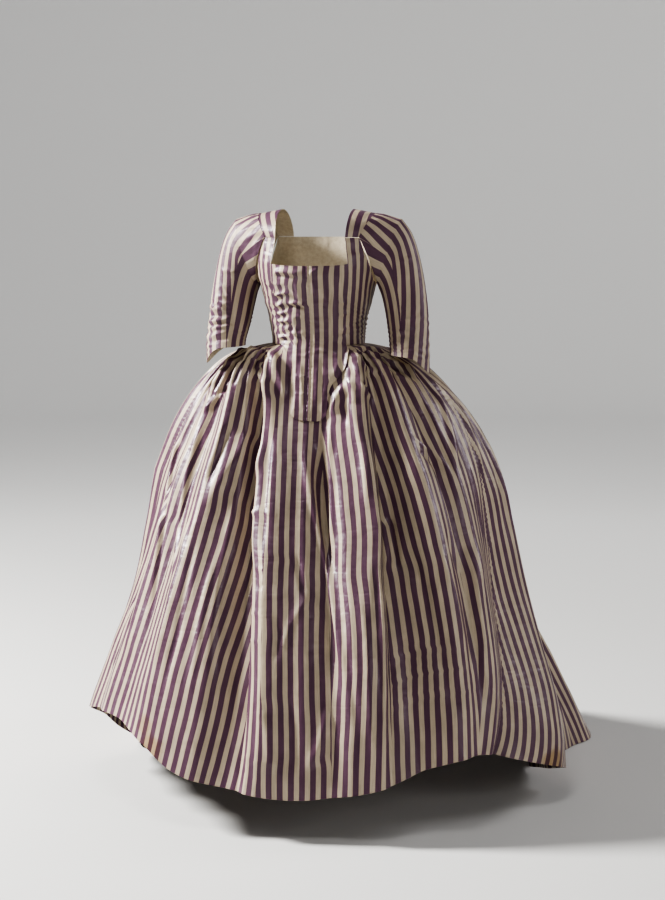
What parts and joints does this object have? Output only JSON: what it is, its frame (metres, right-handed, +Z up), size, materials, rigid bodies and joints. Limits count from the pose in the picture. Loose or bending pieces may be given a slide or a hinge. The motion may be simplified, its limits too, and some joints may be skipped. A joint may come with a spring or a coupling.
{
  "type": "robe a l'anglaise with matching petticoat",
  "caption": "Close-bodied eighteenth-century gown in striped silk: low neck, deep front point, elbow sleeves, full pleated skirts and a short train.",
  "frame": {"origin": "centre of the waist, on the body's axis at the waist seam, where the wearer holds the gown up", "axes": "+Z up, -Y the front of the gown, +X the wearer's left; the train lies towards +Y"},
  "size_m": [1.1743, 1.3103, 1.3148],
  "materials": {
    "striped_silk_skirt": "purple and cream striped silk taffeta, crisp, soft sheen",
    "striped_silk_bodice": "purple and cream striped silk taffeta, close fitted, soft sheen",
    "striped_silk_sleeve": "purple and cream striped silk taffeta, creased at the elbow"
  },
  "bodies": {
    "root": {"skirt_front": "striped_silk_skirt", "skirt_side_left": "striped_silk_skirt", "skirt_side_right": "striped_silk_skirt", "skirt_back_left_outer": "striped_silk_skirt", "skirt_back_left_middle": "striped_silk_skirt", "skirt_back_left_inner": "striped_silk_skirt", "skirt_back_right_outer": "striped_silk_skirt", "skirt_back_right_middle": "striped_silk_skirt", "skirt_back_right_inner": "striped_silk_skirt", "bodice_front_left": "striped_silk_bodice", "bodice_front_right": "striped_silk_bodice", "bodice_side_left": "striped_silk_bodice", "bodice_side_right": "striped_silk_bodice", "bodice_back_left": "striped_silk_bodice", "bodice_back_right": "striped_silk_bodice", "shoulder_strap_left": "striped_silk_bodice", "shoulder_strap_right": "striped_silk_bodice", "sleeve_upper_left": "striped_silk_sleeve", "sleeve_upper_right": "striped_silk_sleeve", "sleeve_under_left": "striped_silk_sleeve", "sleeve_under_right": "striped_silk_sleeve"}
  },
  "joints": []
}
